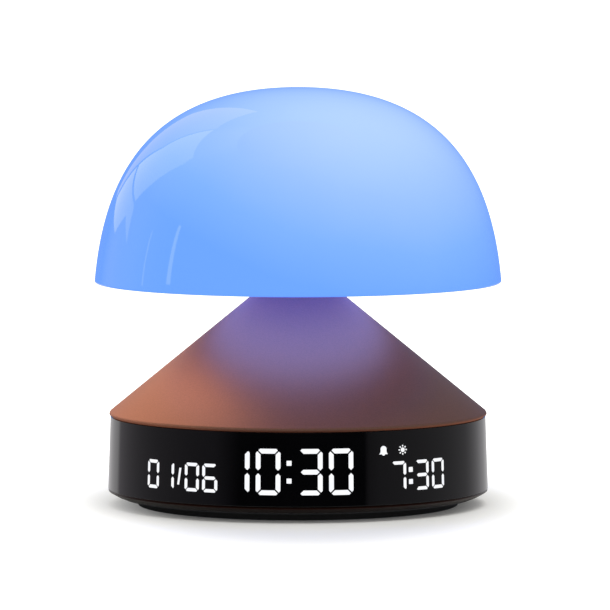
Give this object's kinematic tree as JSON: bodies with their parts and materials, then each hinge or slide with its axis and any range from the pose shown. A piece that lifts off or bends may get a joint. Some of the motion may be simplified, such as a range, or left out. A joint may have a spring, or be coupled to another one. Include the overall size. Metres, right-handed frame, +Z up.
{
  "type": "sunrise alarm clock",
  "caption": "Bedside sunrise alarm clock: lit opal dome over a bronze cone on a round gloss-black base with a seven-segment display, rear buttons and a USB-C inlet.",
  "frame": {"origin": "centre of the foot, on the surface that the clock stands on", "axes": "+Z up along the clock's axis, the display faces -Y, +X is to the right of someone facing it"},
  "size_m": [0.1498, 0.1498, 0.1538],
  "materials": {
    "opal_acrylic": "glossy opal moulding, lit from inside",
    "opal_plate": "satin opal moulding",
    "bronze_finish": "satin copper-bronze metallic finish on a moulding",
    "dark_bronze": "dark bronze metallic finish on a moulding",
    "smoked_acrylic": "gloss black smoked moulding",
    "lit_segment": "translucent white, lit",
    "black_abs": "fine-textured black moulding",
    "grey_abs": "plain grey moulding",
    "foot_rubber": "matte elastomer",
    "steel": "zinc-plated",
    "aluminium": "satin",
    "brass": "turned",
    "circuit_board": "green laminate",
    "board_white": "white solder mask on an aluminium board",
    "led_package": "phosphor gel",
    "chip_resin": "moulded package",
    "speaker_steel": "black pressed steel",
    "ferrite": "sintered",
    "paper": "treated paper",
    "lead_jacket": "soft jacket"
  },
  "bodies": {
    "root": {"stem_tube": "aluminium", "stem_screws": "steel", "stem_nut": "brass", "stem_clip": "steel", "return_spring": "steel", "switch_platform": "grey_abs", "switch_board": "circuit_board", "shade_switches": "chip_resin", "led_cable": "lead_jacket", "cone_shell": "bronze_finish", "cone_screws": "steel", "display_band": "smoked_acrylic", "time_digits": "lit_segment", "date_digits": "lit_segment", "alarm_digits": "lit_segment", "alarm_icons": "lit_segment", "display_housing": "black_abs", "display_board": "circuit_board", "display_leds": "led_package", "rear_panel": "black_abs", "button_board": "circuit_board", "button_switches": "chip_resin", "button_board_screws": "steel", "slide_switch": "chip_resin", "slide_switch_screws": "steel", "usb_shell": "steel", "usb_tongue": "chip_resin", "power_board": "circuit_board", "power_board_screws": "steel", "chassis": "grey_abs", "main_board": "circuit_board", "main_board_screws": "steel", "main_chips": "chip_resin", "speaker_frame": "speaker_steel", "speaker_magnet": "ferrite", "speaker_cone": "paper", "speaker_screws": "steel", "base_ring": "dark_bronze", "bottom_cover": "black_abs", "cover_screws": "steel", "foot_ring": "foot_rubber", "coin_cell": "steel", "cell_contact": "brass", "cell_holder": "black_abs"},
    "shade": {"shade_dome": "opal_acrylic", "shade_underside": "opal_plate", "shade_carrier": "grey_abs", "carrier_screws": "steel", "led_board": "board_white", "led_chips": "led_package"},
    "button_menu": {"button_menu": "black_abs"},
    "button_minus": {"button_minus": "black_abs"},
    "button_snooze": {"button_snooze": "black_abs"},
    "button_plus": {"button_plus": "black_abs"},
    "button_light": {"button_light": "black_abs"},
    "alarm_slider": {"alarm_slider": "black_abs"},
    "battery_cap": {"battery_cap": "black_abs"}
  },
  "joints": [
    {"name": "shade_press", "type": "slide", "parent": "root", "child": "shade", "axis": [0, 0, -1], "range_m": [0, 0.001], "stiffness_N_per_m": 2000, "springref_m": -0.003, "deforming": ["return_spring", "led_cable"]},
    {"name": "press_menu", "type": "slide", "parent": "root", "child": "button_menu", "axis": [0, -1, 0], "range_m": [0, 0.0006], "stiffness_N_per_m": 250, "springref_m": -0.0015},
    {"name": "press_minus", "type": "slide", "parent": "root", "child": "button_minus", "axis": [0, -1, 0], "range_m": [0, 0.0006], "stiffness_N_per_m": 250, "springref_m": -0.0015},
    {"name": "press_snooze", "type": "slide", "parent": "root", "child": "button_snooze", "axis": [0, -1, 0], "range_m": [0, 0.0006], "stiffness_N_per_m": 250, "springref_m": -0.0015},
    {"name": "press_plus", "type": "slide", "parent": "root", "child": "button_plus", "axis": [0, -1, 0], "range_m": [0, 0.0006], "stiffness_N_per_m": 250, "springref_m": -0.0015},
    {"name": "press_light", "type": "slide", "parent": "root", "child": "button_light", "axis": [0, -1, 0], "range_m": [0, 0.0006], "stiffness_N_per_m": 250, "springref_m": -0.0015},
    {"name": "alarm_on_off", "type": "slide", "parent": "root", "child": "alarm_slider", "axis": [0, 0, 1], "range_m": [0, 0.003]},
    {"name": "cap_turn", "type": "hinge", "parent": "root", "child": "battery_cap", "pos_m": [-0.04, 0, 0.0028], "axis": [0, 0, -1], "range_deg": [0, 60]}
  ]
}
